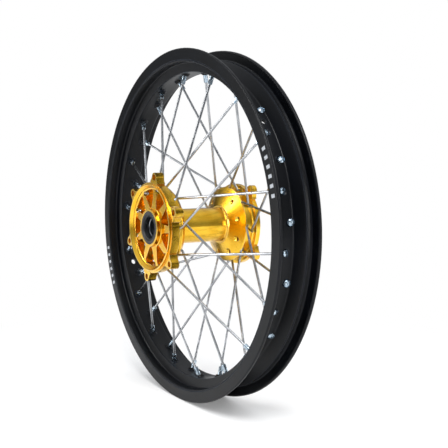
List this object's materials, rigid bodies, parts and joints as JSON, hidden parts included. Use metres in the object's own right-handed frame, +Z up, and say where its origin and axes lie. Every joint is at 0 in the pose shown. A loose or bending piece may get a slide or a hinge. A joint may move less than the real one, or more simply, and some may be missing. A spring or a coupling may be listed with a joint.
{
  "type": "spoked motorcycle rear wheel",
  "caption": "Wire-spoked off-road rear wheel without a tyre: black drop-centre rim, gold machined hub with sprocket and disc carriers, crossed steel spokes.",
  "frame": {"origin": "the wheel's centre on the axle line, midway between the rim's two flanges", "axes": "+Y along the axle towards the brake disc side, +Z up, +X in the wheel's plane"},
  "size_m": [0.511, 0.1572, 0.511],
  "materials": {
    "black_anodised_rim": "matt black anodised aluminium",
    "gold_anodised_hub": "gold anodised machined aluminium",
    "zinc_plated_nipple": "bright zinc plated steel",
    "spacer_alloy": "turned aluminium",
    "bearing_steel": "ground bearing steel",
    "ball_steel": "polished steel balls",
    "cage_brass": "pressed cage",
    "shield_rubber": "moulded rubber shield",
    "spring_steel": "phosphated spring steel",
    "seal_rubber": "moulded black rubber",
    "stainless_spoke": "drawn stainless steel wire"
  },
  "bodies": {
    "axle_core": {"spacer_tube": "spacer_alloy", "bearing_inner_races": "bearing_steel"},
    "wheel": {"rim": "black_anodised_rim", "hub": "gold_anodised_hub", "nipples_sprocket_side": "zinc_plated_nipple", "nipples_disc_side": "zinc_plated_nipple", "bearing_outer_races": "bearing_steel", "bearing_shields": "shield_rubber", "bearing_circlip": "spring_steel", "seal_sprocket_side": "seal_rubber", "seal_disc_side": "seal_rubber", "spoke_01": "stainless_spoke", "spoke_02": "stainless_spoke", "spoke_03": "stainless_spoke", "spoke_04": "stainless_spoke", "spoke_05": "stainless_spoke", "spoke_06": "stainless_spoke", "spoke_07": "stainless_spoke", "spoke_08": "stainless_spoke", "spoke_09": "stainless_spoke", "spoke_10": "stainless_spoke", "spoke_11": "stainless_spoke", "spoke_12": "stainless_spoke", "spoke_13": "stainless_spoke", "spoke_14": "stainless_spoke", "spoke_15": "stainless_spoke", "spoke_16": "stainless_spoke", "spoke_17": "stainless_spoke", "spoke_18": "stainless_spoke", "spoke_19": "stainless_spoke", "spoke_20": "stainless_spoke", "spoke_21": "stainless_spoke", "spoke_22": "stainless_spoke", "spoke_23": "stainless_spoke", "spoke_24": "stainless_spoke", "spoke_25": "stainless_spoke", "spoke_26": "stainless_spoke", "spoke_27": "stainless_spoke", "spoke_28": "stainless_spoke", "spoke_29": "stainless_spoke", "spoke_30": "stainless_spoke", "spoke_31": "stainless_spoke", "spoke_32": "stainless_spoke", "spoke_33": "stainless_spoke", "spoke_34": "stainless_spoke", "spoke_35": "stainless_spoke", "spoke_36": "stainless_spoke"},
    "ball_sets": {"bearing_balls": "ball_steel", "bearing_cages": "cage_brass"}
  },
  "joints": [
    {"name": "wheel_spin", "type": "hinge", "parent": "axle_core", "child": "wheel", "pos_m": [0, 0, 0], "axis": [0, 1, 0], "continuous": true},
    {"name": "balls_roll", "type": "hinge", "parent": "axle_core", "child": "ball_sets", "pos_m": [0, 0, 0], "axis": [0, 1, 0], "continuous": true}
  ],
  "couplings": [
    {"joint": "balls_roll", "follows": "wheel_spin", "ratio": 0.5917}
  ]
}
